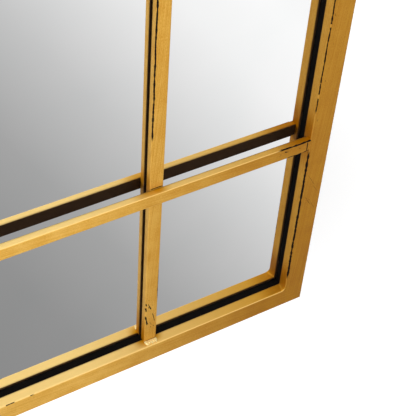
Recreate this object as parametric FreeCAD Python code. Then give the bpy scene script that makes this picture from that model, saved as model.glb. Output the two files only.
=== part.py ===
"""Window mirror: a gilt steel window frame over one sheet of mirror glass.

The frame is mitred rectangular tube. Two flat cross bars lie flush with its front and
two flat uprights pass behind them, so the bars divide the glass into a large middle pane
and a border of smaller ones. The glass and its backing board are clipped to the back of
the frame, and two ring hangers on the board carry the mirror on a wall.

Lengths are in millimetres. The origin is on the wall, behind the middle of the mirror:
X points right as seen from the front, Y towards the wall and Z up.
"""
import FreeCAD
import Part

import collections
import math
import os

# Whole mirror
width = 600.0
height = 800.0

# Frame tube
frame_face = 20.0
frame_depth = 10.0
frame_wall = 1.2
frame_corner = 1.5
frame_bore_corner = 0.5

# Glazing bars, all of one flat stock
bar_face = 11.5
bar_thickness = 6.0
bar_edge = 1.0
side_pane = 128.0
end_pane = 168.0

# Welds
corner_weld_radius = 4.0
corner_weld_toe = 0.2
butt_weld_length = 3.0
butt_weld_step = 0.25
foot_weld_run = 4.4
foot_weld_rise = 3.4
foot_weld_crown = 0.6

# Glass, backing board and the foam tape in front of them
glass_thickness = 3.0
glass_clearance = 1.5
glass_arris = 0.6
panel_overlap = 6.0
board_thickness = 5.0
board_inset = 1.0
tape_inset = 1.5
tape_margin = 0.5

# Clips that hold the glass and board to the frame
clip_sheet = 1.2
clip_width = 14.0
clip_bend = 1.0
clip_gap = 0.5
clip_lip = 10.0
clip_corner = 2.5
stile_clip_shares = (-0.36, 0.0, 0.36)
rail_clip_shares = (-0.3, 0.3)

# Pan head screws, in the clips and in the hangers
screw_head_radius = 2.8
screw_head_height = 2.0
screw_rim_share = 0.4
screw_shank_radius = 1.6
screw_hole_clearance = 0.1
screw_tip = 1.5
clip_screw_length = 7.0
hanger_screw_margin = 0.8

# Ring hangers on the board
hanger_inset = 70.0
hanger_drop = 180.0
ring_wire = 2.5
ring_width = 20.0
ring_leg = 8.0
ring_corner = 3.0
ring_clearance = 0.08
ring_rest_gap = 0.3
strap_sheet = 1.0
strap_width = 12.0
strap_layer_gap = 0.1
strap_bend = 1.5
strap_screw_gap = 1.8
strap_screw_pitch = 11.0

# Rubber bumpers between the board and the wall
bumper_radius = 7.0
bumper_height = 6.0
bumper_round = 2.5
bumper_inset = 26.0

# How far a cutting tool stands past the face that it cuts
overrun = 1.0

# Depths, from the wall forward
board_back = -bumper_height
board_front = board_back - board_thickness
glass_front = board_front - glass_thickness
upright_back = glass_front - glass_clearance
upright_front = upright_back - bar_thickness
front = upright_front - bar_thickness
frame_back = front + frame_depth

# Places that follow from the sizes
inner_width = width - 2 * frame_face
inner_height = height - 2 * frame_face
upright_x = inner_width / 2 - side_pane - bar_face / 2
cross_bar_z = inner_height / 2 - end_pane - bar_face / 2
eye_radius = ring_wire / 2 + ring_clearance
hinge_x = inner_width / 2 - hanger_inset
hinge_y = board_back + strap_sheet + eye_radius
hinge_z = height / 2 - hanger_drop
ring_drop = ring_leg + ring_width / 2
strap_first_screw = ring_drop + ring_wire / 2 + strap_screw_gap + screw_head_radius
strap_last_screw = strap_first_screw + strap_screw_pitch
strap_length = strap_last_screw + strap_width / 2
screw_hole_radius = screw_shank_radius + screw_hole_clearance

V = FreeCAD.Vector
X_AXIS = V(1, 0, 0)
Y_AXIS = V(0, 1, 0)
Z_AXIS = V(0, 0, 1)
CENTRE = V(0, 0, 0)

# Every piece of a side is made on the left and turned about Y to its own side.
# The reach is from the middle of the mirror to the side's outer face.
Side = collections.namedtuple("Side", "turn reach length clip_shares")
SIDES = {
    "left": Side(0, width / 2, height, stile_clip_shares),
    "right": Side(180, width / 2, height, stile_clip_shares),
    "top": Side(90, height / 2, width, rail_clip_shares),
    "bottom": Side(-90, height / 2, width, rail_clip_shares),
}


def turned_to(side, shape):
    """The shape, made on the left, turned to its side."""
    placed = shape.copy()
    placed.rotate(CENTRE, Y_AXIS, side.turn)
    return placed


def rounded_rectangle(size_x, size_y, radius):
    """Closed outline in the XY plane, centred, with round corners."""
    edges = []
    ends = []
    for quarter, (sign_x, sign_y) in enumerate(((1, 1), (-1, 1), (-1, -1), (1, -1))):
        corner = V(sign_x * (size_x / 2 - radius), sign_y * (size_y / 2 - radius), 0)
        start = quarter * math.pi / 2
        arc = Part.Arc(Part.Circle(corner, Z_AXIS, radius), start, start + math.pi / 2).toShape()
        edges.append(arc)
        ends.append((arc.valueAt(arc.FirstParameter), arc.valueAt(arc.LastParameter)))
    for this, following in zip(ends, ends[1:] + ends[:1]):
        edges.append(Part.LineSegment(this[1], following[0]).toShape())
    return Part.Wire(Part.__sortEdges__(edges))


def bar_along_z(outline, length):
    """Solid bar of a closed XY outline, centred along Z."""
    bar = Part.Face(outline).extrude(V(0, 0, length))
    bar.translate(V(0, 0, -length / 2))
    return bar


def cylinder_along_y(radius, start, end, x, z):
    """Cylinder on an axis parallel to Y, between two depths."""
    return Part.makeCylinder(radius, end - start, V(x, start, z), Y_AXIS)


def block(x_range, y_range, z_range):
    """Rectangular block between three pairs of limits."""
    size = [high - low for low, high in (x_range, y_range, z_range)]
    return Part.makeBox(*size, V(x_range[0], y_range[0], z_range[0]))


def revolved_about_y(edges):
    """Solid of revolution about the Y axis from edges that close in the XY plane."""
    profile = Part.Face(Part.Wire(Part.__sortEdges__(edges)))
    return profile.revolve(CENTRE, Y_AXIS, 360)


def line_strip(start, end, offset):
    """Straight edge that runs beside the line from start to end."""
    along = (end - start).normalize()
    across = V(-along.y, along.x, 0) * offset
    return Part.LineSegment(start + across, end + across).toShape()


def arc_strip(centre, radius, start, end, offset):
    """Arc that runs beside the arc from start to end, both in degrees."""
    beside = radius - offset if end > start else radius + offset

    def point(angle):
        turn = math.radians(angle)
        return centre + V(math.cos(turn), math.sin(turn), 0) * beside

    return Part.Arc(point(start), point((start + end) / 2), point(end)).toShape()


def bent_sheet(path, sheet, breadth):
    """Sheet metal bent along a path of lines and tangent arcs in the XY plane.

    A line is a pair of points and an arc is a centre, a radius and two angles. Both are
    given for the middle of the sheet, which is then drawn out along Z, centred.
    """
    sides = []
    for offset in (sheet / 2, -sheet / 2):
        edges = []
        for step in path:
            edges.append(line_strip(*step, offset) if len(step) == 2 else arc_strip(*step, offset))
        sides.append(edges)
    starts = [edges[0].valueAt(edges[0].FirstParameter) for edges in sides]
    ends = [edges[-1].valueAt(edges[-1].LastParameter) for edges in sides]
    caps = [Part.LineSegment(*pair).toShape() for pair in (starts, ends)]
    outline = Part.Wire(Part.__sortEdges__(sides[0] + sides[1] + caps))
    return bar_along_z(outline, breadth)


def clip_places(side):
    """Where the clips sit along a side."""
    return [share * side.length for share in side.clip_shares]


def panel_edge(side):
    """Edge of the glass on a side that is made on the left."""
    return -side.reach + frame_face - panel_overlap


def clip_riser(side):
    """Middle of the sheet of a clip, where it rises past the edge of the glass."""
    return panel_edge(side) - clip_gap - clip_sheet / 2


def clip_screw_place(side):
    """Middle of the flat part of a clip's foot."""
    foot_end = -side.reach + frame_corner
    bend_start = clip_riser(side) - clip_sheet / 2 - clip_bend
    return (foot_end + bend_start) / 2


def frame_envelope(side):
    """Outer shape of one side's tube, mitred at both ends."""
    bar = bar_along_z(rounded_rectangle(frame_face, frame_depth, frame_corner), side.length)
    bar.translate(V(-side.reach + frame_face / 2, front + frame_depth / 2, 0))
    outside = -side.reach
    inside = outside + frame_face
    long_half = side.length / 2
    short_half = long_half - frame_face
    corners = [(outside, -long_half), (outside, long_half), (inside, short_half), (inside, -short_half)]
    points = [V(x, front, z) for x, z in corners]
    mitre = Part.Face(Part.makePolygon(points + points[:1])).extrude(V(0, frame_depth, 0))
    return turned_to(side, bar.common(mitre))


def frame_tube(side):
    """Tube of one side, with the holes for its clip screws."""
    bore_face = frame_face - 2 * frame_wall
    bore_depth = frame_depth - 2 * frame_wall
    bore = bar_along_z(rounded_rectangle(bore_face, bore_depth, frame_bore_corner), side.length)
    bore.translate(V(-side.reach + frame_face / 2, front + frame_depth / 2, 0))
    tube = frame_envelope(side).cut(turned_to(side, bore))
    for place in clip_places(side):
        hole = cylinder_along_y(
            screw_hole_radius, frame_back - frame_wall - overrun, frame_back + overrun,
            clip_screw_place(side), place)
        tube = tube.cut(turned_to(side, hole))
    return tube


def glazing_bar(length, y_front):
    """Flat bar along Z with eased edges, its front at a given depth."""
    bar = bar_along_z(rounded_rectangle(bar_face, bar_thickness, bar_edge), length)
    bar.translate(V(0, y_front + bar_thickness / 2, 0))
    return bar


def upright(x):
    """Upright behind the cross bars, from rail to rail."""
    bar = glazing_bar(inner_height, upright_front)
    bar.translate(V(x, 0, 0))
    return bar


def cross_bar(z):
    """Cross bar flush with the front of the frame, a weld short of the stile at each end."""
    bar = glazing_bar(inner_width - 2 * butt_weld_length, front)
    bar.rotate(CENTRE, Y_AXIS, SIDES["top"].turn)
    bar.translate(V(0, 0, z))
    return bar


def corner_weld():
    """Weld that rounds the lower left inside corner and follows the tubes' own round edges.

    It is drawn with the inside corner at the origin, and its edges keep the toe's
    thickness and stay that far inside the front and back of the frame.
    """
    span = (-frame_corner, corner_weld_radius)
    weld = block(span, (front + corner_weld_toe, frame_back - corner_weld_toe), span)
    outline = rounded_rectangle(frame_face, frame_depth, frame_corner)
    tube = bar_along_z(outline, 2 * (frame_face + corner_weld_radius))
    tube.translate(V(-frame_face / 2, front + frame_depth / 2, 0))
    for name in ("left", "bottom"):
        weld = weld.cut(turned_to(SIDES[name], tube))

    reach = corner_weld_radius - corner_weld_toe
    rim_reach = reach + frame_corner
    slope = frame_corner * (1 - math.sqrt(0.5))
    before = front - overrun
    beyond = frame_back + overrun
    rims = [
        (V(rim_reach, front, 0), V(reach + slope, front + slope, 0), V(reach, front + frame_corner, 0)),
        (V(reach, frame_back - frame_corner, 0), V(reach + slope, frame_back - slope, 0),
         V(rim_reach, frame_back, 0)),
    ]
    middle = [rims[0][2], rims[1][0]]
    ends = [rims[1][2], V(rim_reach, beyond, 0), V(0, beyond, 0), V(0, before, 0),
            V(rim_reach, before, 0), rims[0][0]]
    edges = [Part.Arc(*rim).toShape() for rim in rims]
    for points in (middle, ends):
        edges += [Part.LineSegment(*pair).toShape() for pair in zip(points, points[1:])]
    hollow = revolved_about_y(edges)
    hollow.translate(V(corner_weld_radius, 0, corner_weld_radius))
    return weld.cut(hollow)


def corner_welds():
    """The four inside corner welds, from the lower left one."""
    lower_left = corner_weld()
    lower_left.translate(V(-inner_width / 2, 0, -inner_height / 2))
    lower = [lower_left, lower_left.mirror(CENTRE, X_AXIS)]
    upper = [weld.mirror(CENTRE, Z_AXIS) for weld in lower]
    return Part.makeCompound(lower + upper)


def butt_welds():
    """Dressed welds between the ends of the cross bars and the stiles."""
    weld_face = bar_face - 2 * butt_weld_step
    weld_thickness = bar_thickness - 2 * butt_weld_step
    outline = rounded_rectangle(weld_face, weld_thickness, bar_edge)
    length = butt_weld_length + frame_corner
    welds = []
    for z in (-cross_bar_z, cross_bar_z):
        weld = bar_along_z(outline, length)
        weld.rotate(CENTRE, Y_AXIS, SIDES["top"].turn)
        middle = -inner_width / 2 + butt_weld_length - length / 2
        weld.translate(V(middle, front + bar_thickness / 2, z))
        weld = weld.cut(frame_envelope(SIDES["left"]))
        welds += [weld, weld.mirror(CENTRE, X_AXIS)]
    return Part.makeCompound(welds)


def foot_welds():
    """Fillet welds in front of the uprights' ends, on the inside of the rails."""
    foot = V(0, upright_front, -inner_height / 2)
    toe = foot - V(0, foot_weld_run, 0)
    top = foot + V(0, 0, foot_weld_rise)
    slant = top - toe
    outward = V(0, -slant.z, slant.y).normalize()
    crown = (toe + top) / 2 + outward * foot_weld_crown
    edges = [
        Part.LineSegment(foot, toe).toShape(),
        Part.Arc(toe, crown, top).toShape(),
        Part.LineSegment(top, foot).toShape(),
    ]
    bead = Part.Face(Part.Wire(edges)).extrude(V(bar_face, 0, 0))
    welds = []
    for x in (-upright_x, upright_x):
        lower = bead.copy()
        lower.translate(V(x - bar_face / 2, 0, 0))
        welds += [lower, lower.mirror(CENTRE, Z_AXIS)]
    return Part.makeCompound(welds)


def mirror_sheet():
    """Silvered glass with ground edges, behind the whole window."""
    half_x = inner_width / 2 + panel_overlap
    half_z = inner_height / 2 + panel_overlap
    sheet = block((-half_x, half_x), (glass_front, board_front), (-half_z, half_z))
    return sheet.makeChamfer(glass_arris, sheet.Edges)


def backing_board():
    """Fibreboard behind the glass, with pilot holes for the hanger screws."""
    half_x = inner_width / 2 + panel_overlap - board_inset
    half_z = inner_height / 2 + panel_overlap - board_inset
    board = block((-half_x, half_x), (board_front, board_back), (-half_z, half_z))
    depth = board_thickness - hanger_screw_margin
    for x, z in hanger_screw_places():
        hole = cylinder_along_y(screw_hole_radius, board_back - depth, board_back + overrun, x, z)
        board = board.cut(hole)
    return board


def foam_tape(name, side):
    """Strip of foam tape between the back of the frame and the glass."""
    near = -side.reach + frame_face - tape_inset
    far = panel_edge(side) + tape_margin
    half = side.length / 2 - frame_face + tape_inset
    if name in ("left", "right"):
        half += near - far
    strip = block((far, near), (frame_back, glass_front), (-half, half))
    return turned_to(side, strip)


def clip(side, place):
    """Offset clip, screwed to the back of the frame with its lip over the board."""
    bend = clip_bend + clip_sheet / 2
    riser = clip_riser(side)
    foot_y = frame_back + clip_sheet / 2
    lip_y = board_back + clip_sheet / 2
    foot_end = -side.reach + frame_corner
    lip_end = riser + clip_sheet / 2 + clip_lip
    path = [
        (V(foot_end, foot_y, 0), V(riser - bend, foot_y, 0)),
        (V(riser - bend, foot_y + bend, 0), bend, -90, 0),
        (V(riser, foot_y + bend, 0), V(riser, lip_y - bend, 0)),
        (V(riser + bend, lip_y - bend, 0), bend, 180, 90),
        (V(riser + bend, lip_y, 0), V(lip_end, lip_y, 0)),
    ]
    piece = bent_sheet(path, clip_sheet, clip_width)

    plan = bar_along_z(
        rounded_rectangle(lip_end - foot_end, clip_width, clip_corner), lip_y - foot_y + 2 * clip_sheet)
    plan.rotate(CENTRE, X_AXIS, 90)
    plan.translate(V((foot_end + lip_end) / 2, (foot_y + lip_y) / 2, 0))
    piece = piece.common(plan)

    hole = cylinder_along_y(
        screw_hole_radius, frame_back - overrun, frame_back + clip_sheet + overrun,
        clip_screw_place(side), 0)
    piece = piece.cut(hole)
    piece.translate(V(0, 0, place))
    return turned_to(side, piece)


def screw(length):
    """Pan head screw on the Y axis, its head seated at zero and its point towards the front."""
    rim = screw_head_height * screw_rim_share
    crown = screw_head_height - rim
    dome = (screw_head_radius ** 2 + crown ** 2) / (2 * crown)
    middle = screw_head_radius / 2
    middle_y = screw_head_height - dome + math.sqrt(dome ** 2 - middle ** 2)
    outline = [
        V(0, screw_head_height, 0), V(0, -length, 0),
        V(screw_shank_radius, screw_tip - length, 0), V(screw_shank_radius, 0, 0),
        V(screw_head_radius, 0, 0), V(screw_head_radius, rim, 0),
    ]
    edges = [Part.LineSegment(*pair).toShape() for pair in zip(outline, outline[1:])]
    edges.append(Part.Arc(outline[-1], V(middle, middle_y, 0), outline[0]).toShape())
    return revolved_about_y(edges)


def clip_screws():
    """One screw through the foot of each clip into the back wall of the frame."""
    screws = []
    for side in SIDES.values():
        for place in clip_places(side):
            piece = screw(clip_screw_length)
            piece.translate(V(clip_screw_place(side), frame_back + clip_sheet, place))
            screws.append(turned_to(side, piece))
    return Part.makeCompound(screws)


def hanger_screw_places():
    """Where the hanger screws go into the board."""
    drops = (strap_first_screw, strap_last_screw)
    return [(x, hinge_z - drop) for x in (-hinge_x, hinge_x) for drop in drops]


def hanger_screws():
    """Two screws through each strap into the board, short of the glass."""
    layers = 2 * strap_sheet + strap_layer_gap
    length = layers + board_thickness - hanger_screw_margin
    screws = []
    for x, z in hanger_screw_places():
        piece = screw(length)
        piece.translate(V(x, board_back + layers, z))
        screws.append(piece)
    return Part.makeCompound(screws)


def hanger_strap(x):
    """Strap folded double round the ring, its eye rolled over the hinge axis.

    It is drawn with the axis at the origin, X away from the board and Y up.
    """
    roll = eye_radius + strap_sheet / 2
    lower = -roll
    upper = lower + strap_sheet + strap_layer_gap
    neck_x = upper + strap_bend
    neck_y = -math.sqrt((roll + strap_bend) ** 2 - neck_x ** 2)
    neck_angle = math.degrees(math.atan2(neck_y, neck_x))
    path = [
        (V(lower, -strap_length, 0), V(lower, 0, 0)),
        (CENTRE, roll, 180, neck_angle),
        (V(neck_x, neck_y, 0), strap_bend, 180 + neck_angle, 180),
        (V(upper, neck_y, 0), V(upper, -strap_length, 0)),
    ]
    strap = bent_sheet(path, strap_sheet, strap_width)
    # A third of a turn about the diagonal carries X to Y, Y to Z and Z to X.
    strap.rotate(CENTRE, V(1, 1, 1), 120)
    strap.translate(V(x, hinge_y, hinge_z))

    top = hinge_z + roll + strap_sheet
    reach = strap_sheet + 2 * roll + overrun
    end = cylinder_along_y(strap_width / 2, board_back - overrun, board_back + reach,
                           x, hinge_z - strap_last_screw)
    shank = block((x - strap_width / 2, x + strap_width / 2), (board_back - overrun, board_back + reach),
                  (hinge_z - strap_last_screw, top))
    strap = strap.common(shank.fuse(end))
    for drop in (strap_first_screw, strap_last_screw):
        hole = cylinder_along_y(screw_hole_radius, board_back - overrun, board_back + reach, x, hinge_z - drop)
        strap = strap.cut(hole)
    return strap


def ring_rest_angle():
    """How far the ring leans off the board, where its bow comes to rest over the strap."""
    bow = ring_width / 2
    crossing = ring_leg + math.sqrt(bow ** 2 - (strap_width / 2) ** 2)
    lift = strap_sheet + strap_layer_gap + ring_rest_gap - ring_clearance
    return math.degrees(math.asin(lift / crossing))


def hanger_ring(x):
    """Wire ring shaped like a D, hanging at rest with its straight side in the strap's eye."""
    bow = ring_width / 2
    slope = ring_corner * (1 - math.sqrt(0.5))
    elbow = bow - ring_corner
    half_path = Part.Wire([
        Part.LineSegment(CENTRE, V(elbow, 0, 0)).toShape(),
        Part.Arc(V(elbow, 0, 0), V(bow - slope, 0, -slope), V(bow, 0, -ring_corner)).toShape(),
        Part.LineSegment(V(bow, 0, -ring_corner), V(bow, 0, -ring_leg)).toShape(),
        Part.Arc(
            V(bow, 0, -ring_leg),
            V(bow * math.sqrt(0.5), 0, -ring_leg - bow * math.sqrt(0.5)),
            V(0, 0, -ring_drop)).toShape(),
    ])
    section = Part.Wire(Part.Circle(CENTRE, X_AXIS, ring_wire / 2).toShape())
    half = half_path.makePipeShell([section], True, False)
    ring = half.fuse(half.mirror(CENTRE, X_AXIS)).removeSplitter()
    ring.rotate(CENTRE, X_AXIS, ring_rest_angle())
    ring.translate(V(x, hinge_y, hinge_z))
    return ring


def wall_bumpers():
    """Rubber bumpers in the four corners of the board."""
    rim = bumper_radius - bumper_round
    bevel = bumper_round * (1 - math.sqrt(0.5))
    outline = [
        V(rim, 0, 0), CENTRE, V(0, -bumper_height, 0),
        V(bumper_radius, -bumper_height, 0), V(bumper_radius, -bumper_round, 0),
    ]
    edges = [Part.LineSegment(*pair).toShape() for pair in zip(outline, outline[1:])]
    edges.append(Part.Arc(outline[-1], V(bumper_radius - bevel, -bevel, 0), outline[0]).toShape())
    bumper = revolved_about_y(edges)
    places_x = inner_width / 2 - bumper_inset
    places_z = inner_height / 2 - bumper_inset
    bumpers = []
    for x in (-places_x, places_x):
        for z in (-places_z, places_z):
            piece = bumper.copy()
            piece.translate(V(x, 0, z))
            bumpers.append(piece)
    return Part.makeCompound(bumpers)


def build():
    """Every piece of the mirror under its own name."""
    pieces = {
        "left_stile": frame_tube(SIDES["left"]),
        "right_stile": frame_tube(SIDES["right"]),
        "top_rail": frame_tube(SIDES["top"]),
        "bottom_rail": frame_tube(SIDES["bottom"]),
        "upper_cross_bar": cross_bar(cross_bar_z),
        "lower_cross_bar": cross_bar(-cross_bar_z),
        "left_upright": upright(-upright_x),
        "right_upright": upright(upright_x),
        "corner_welds": corner_welds(),
        "cross_bar_welds": butt_welds(),
        "upright_welds": foot_welds(),
        "mirror_sheet": mirror_sheet(),
        "backing_board": backing_board(),
        "clip_screws": clip_screws(),
        "left_hanger_strap": hanger_strap(-hinge_x),
        "right_hanger_strap": hanger_strap(hinge_x),
        "left_hanger_ring": hanger_ring(-hinge_x),
        "right_hanger_ring": hanger_ring(hinge_x),
        "hanger_screws": hanger_screws(),
        "wall_bumpers": wall_bumpers(),
    }
    for name, side in SIDES.items():
        pieces[f"{name}_tape"] = foam_tape(name, side)
        for number, place in enumerate(clip_places(side), start=1):
            pieces[f"{name}_clip_{number}"] = clip(side, place)
    return pieces


os.makedirs("parts", exist_ok=True)
for piece_name, piece_shape in build().items():
    piece_shape.exportStep(f"parts/{piece_name}.step")
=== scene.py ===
"""Window mirror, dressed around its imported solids.

A gilt steel window frame stands in front of one sheet of silvered glass. The bars, the
glass, the board and the hangers keep their solids and get their finishes here. The welds
in the frame's corners and at the ends of the uprights, and the screws, are drawn again as
finer meshes.

Sizes in the classes are in millimetres, and meshes are in metres, in the solids' frame:
X to the right as seen from the front, Y towards the wall and Z up.
"""

import logging
import math
from dataclasses import dataclass
from dataclasses import field
from enum import Enum
from functools import partial
from typing import Callable
from typing import Mapping
from typing import Optional
from typing import Sequence
from typing import Union

import bmesh
import bpy
from mathutils import Matrix
from mathutils import Vector


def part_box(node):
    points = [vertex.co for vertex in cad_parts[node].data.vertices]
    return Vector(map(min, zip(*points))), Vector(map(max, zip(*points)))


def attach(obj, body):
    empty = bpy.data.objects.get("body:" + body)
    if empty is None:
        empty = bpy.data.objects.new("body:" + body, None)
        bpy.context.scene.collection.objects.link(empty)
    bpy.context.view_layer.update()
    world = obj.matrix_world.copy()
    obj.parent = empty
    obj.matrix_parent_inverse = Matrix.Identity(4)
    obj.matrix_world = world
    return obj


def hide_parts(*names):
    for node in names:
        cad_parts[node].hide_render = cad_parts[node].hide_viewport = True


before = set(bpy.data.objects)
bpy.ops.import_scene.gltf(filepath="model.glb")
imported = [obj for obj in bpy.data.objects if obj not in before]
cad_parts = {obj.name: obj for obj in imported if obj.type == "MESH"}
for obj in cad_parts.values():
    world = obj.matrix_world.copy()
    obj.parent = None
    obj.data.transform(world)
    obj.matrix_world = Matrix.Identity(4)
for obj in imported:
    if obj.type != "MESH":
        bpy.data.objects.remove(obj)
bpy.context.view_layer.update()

LOG = logging.getLogger("window_mirror")
MM = 0.001
MIRROR_BODY = "mirror"
QUARTER_TURN = math.pi / 2
# A noise's middle, how far its levels spread and where most of it lies.
NOISE_MIDDLE = 0.5
NOISE_SPREAD = 0.6
NOISE_USUAL = (0.3, 0.7)

Colour = tuple[float, float, float, float]
Pair = tuple[float, float]
Material = bpy.types.Material
Mesh = bmesh.types.BMesh
Node = bpy.types.Node
Outputs = bpy.types.NodeOutputs
Socket = bpy.types.NodeSocket
Tree = bpy.types.NodeTree
Value = Union[Node, Socket, float, Sequence[float]]

# Settings that many nodes share: a range with soft ends, and a mix of two colours.
SOFT = {"interpolation_type": "SMOOTHSTEP"}
COLOURS = {"data_type": "RGBA"}


def linear(hex_colour: str) -> Colour:
    """Turns an sRGB hex colour into linear light.

    Args:
        hex_colour: Colour written as #RRGGBB.

    Returns:
        Red, green and blue in linear light, with an alpha of one.
    """
    channels = []
    for start in (1, 3, 5):
        level = int(hex_colour[start:start + 2], 16) / 255
        channels.append(level / 12.92 if level <= 0.04045 else ((level + 0.055) / 1.055) ** 2.4)
    return (*channels, 1.0)


def add(tree: Tree, kind: str, inputs: Optional[Mapping[Union[int, str], Value]] = None,
        stops: Sequence[tuple[float, str]] = (), **settings: object) -> Node:
    """Adds one node with its settings and links.

    Args:
        tree: Node tree that takes the node.
        kind: Name of the node's type, without its ShaderNode prefix.
        inputs: Value, output socket or node (for its first output) of each input, by name or number.
        stops: Places and hex colours, for a node with a colour ramp.
        **settings: Attributes of the node.

    Returns:
        The new node.
    """
    node = tree.nodes.new("ShaderNode" + kind)
    for key, value in settings.items():
        setattr(node, key, value)
    for key, value in (inputs or {}).items():
        source = value.outputs[0] if isinstance(value, Node) else value
        if isinstance(source, Socket):
            tree.links.new(source, node.inputs[key])
        else:
            node.inputs[key].default_value = source
    for number, (place, hex_colour) in enumerate(stops):
        elements = node.color_ramp.elements
        element = elements[number] if number < 2 else elements.new(place)
        element.position = place
        element.color = linear(hex_colour)
    return node


def span(limits: Pair, results: Pair = (0.0, 1.0)) -> dict[int, float]:
    """Inputs of a range node: its two limits, and what it gives at them."""
    return dict(enumerate((*limits, *results), 1))


def overlap(tree: Tree, *masks: Value) -> Value:
    """Finds where several masks overlap.

    Args:
        tree: Node tree of the material.
        *masks: Masks from zero to one.

    Returns:
        Their product, which is one only where all of them are.
    """
    shared = masks[0]
    for mask in masks[1:]:
        shared = add(tree, "Math", {0: shared, 1: mask}, operation="MULTIPLY")
    return shared


def start_material(name: str) -> tuple[Material, Tree]:
    """Starts a material with an empty node tree.

    Args:
        name: Name of the real material.

    Returns:
        The material and its node tree.
    """
    material = bpy.data.materials.new(name)
    material.use_nodes = True
    material.node_tree.nodes.clear()
    return material, material.node_tree


def shade(tree: Tree, inputs: Mapping[str, Value]) -> None:
    """Ends a material's tree with a principled shader, which gets these inputs."""
    shader = add(tree, "BsdfPrincipled", inputs)
    add(tree, "OutputMaterial", {"Surface": shader})


def millimetres(tree: Tree) -> Node:
    """Place on the object in millimetres, as a node of the tree."""
    place = add(tree, "TexCoord").outputs["Object"]
    return add(tree, "VectorMath", {0: place, "Scale": 1 / MM}, operation="SCALE")


def normals(tree: Tree) -> Outputs:
    """X, Y and Z of the way that the surface faces."""
    return add(tree, "SeparateXYZ", {0: add(tree, "NewGeometry").outputs["Normal"]}).outputs


def dress(node: str, material: Material) -> None:
    """Puts a material on a carried-over CAD node.

    Args:
        node: Name of the CAD node.
        material: Finish that it gets.
    """
    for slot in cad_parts[node].material_slots:
        slot.material = material
    LOG.info("%s dressed in %s", node, material.name)


def skin(mesh: Mesh, rings: Sequence[Sequence[bmesh.types.BMVert]]) -> None:
    """Closes the strip between each ring of points and the next.

    Args:
        mesh: Mesh that holds the points.
        rings: Rings with the same number of points.
    """
    for this, following in zip(rings, rings[1:]):
        for index, point in enumerate(this):
            after = (index + 1) % len(this)
            mesh.faces.new((point, this[after], following[after], following[index]))


def new_piece(name: str, mesh: Mesh, material: Material, slot: str, *replaced: str,
              sharp_angle: Optional[float] = None) -> None:
    """Makes a smooth piece, riding on the mirror, from a finished mesh.

    Args:
        name: Name of the piece.
        mesh: Its mesh in metres, which is freed.
        material: Its finish.
        slot: The record's material slot, which is not used.
        *replaced: CAD nodes that it stands for.
        sharp_angle: Angle in degrees from which its edges stay sharp, if any do.
    """
    data = bpy.data.meshes.new(name)
    bmesh.ops.recalc_face_normals(mesh, faces=mesh.faces)
    mesh.to_mesh(data)
    mesh.free()
    data.materials.append(material)
    for face in data.polygons:
        face.use_smooth = True
    if sharp_angle is not None:
        data.set_sharp_from_angle(angle=math.radians(sharp_angle))
    piece = bpy.data.objects.new(name, data)
    bpy.context.scene.collection.objects.link(piece)
    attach(piece, MIRROR_BODY)
    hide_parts(*replaced)
    LOG.info("%s built with %d faces", name, len(data.polygons))


class Run(Enum):
    """The way a bar runs: the axis along it and the axis across its face."""

    UPRIGHT = ("Z", "X")
    LEVEL = ("X", "Z")


@dataclass(frozen=True)
class DarkLine:
    """Dark line on a bar where the gold is rubbed through to its ground, or a line of painted shade where
    parts meet.

    Args:
        run: The way the line runs.
        across: Place across the line.
        depth: Place in Y.
        start: Lower end of the line.
        end: Upper end of the line.
        breadth: Breadth of the line.
        cover: Share of the line that is rubbed through.
        lean: Lean of the line from the bar's own direction, in degrees.
    """

    run: Run
    across: float
    depth: float
    start: float
    end: float
    breadth: float
    cover: float
    lean: float = 0.0


@dataclass(frozen=True)
class ChippedPatch:
    """Patch on the front of a bar where small chips of the gold are gone.

    Args:
        across: Limits across the face of the bar.
        along: Limits along the bar.
        depth: Depth behind which no chip shows.
        slant: Lean of the chips from the bar's own direction, in degrees.
        cover: Share of the patch that is chipped.
    """

    across: Pair
    along: Pair
    depth: float
    slant: float
    cover: float


@dataclass(frozen=True)
class JunctionShade:
    """Spot of painted shade that darkens and browns the gold where parts meet at a weld.

    The frame is alike on both sides and at top and bottom, so one spot stands for four.

    Args:
        place: Middle of the spot, with no signs.
        reach: Distance at which the shade ends.
        strength: Share of the shade in the middle.
    """

    place: tuple[float, float, float]
    reach: float
    strength: float


@dataclass(frozen=True)
class GiltPaint:
    """Gold bronze paint brushed over black-brown japan on steel.

    The flakes give a broad satin gloss that is paler where the brush left more of them.
    Brush marks run along each bar. Painted shade deepens and browns the gold towards the
    stiles and corners and where parts meet at the welds, and a painted highlight pales it
    on upward faces and round front edges. The ground shows on the back faces, which were
    left bare, as painted shade on the sides next to them, and as dark lines and flecks
    where the gold is rubbed or chipped through.
    """

    deep: str = "#D59B37"
    gold: str = "#E2AD4B"
    pale: str = "#ECBC5E"
    # Painted highlight that pales the upward faces.
    top_sheen: str = "#F8D78A"
    # Painted highlight on the round front edges.
    edge_highlight: str = "#F7D286"
    # Painted shade that darkens and browns the gold towards the stiles and corners; the next colour is its
    # paler form on upward faces.
    outer_shade_tone: str = "#BCA52C"
    outer_shade_top_tone: str = "#D2AD19"
    # Painted shade where parts meet at the welds.
    junction_shade_tone: str = "#D4B318"
    # Ground on the back faces, also the colour of the painted shade on the sides near them.
    ground: str = "#4A3420"
    # Colour of the rubbed lines, and of a line of painted shade where an upright meets a cross bar.
    dark_line_colour: str = "#0F0906"
    metallic: float = 0.42
    roughness: float = 0.42


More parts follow.
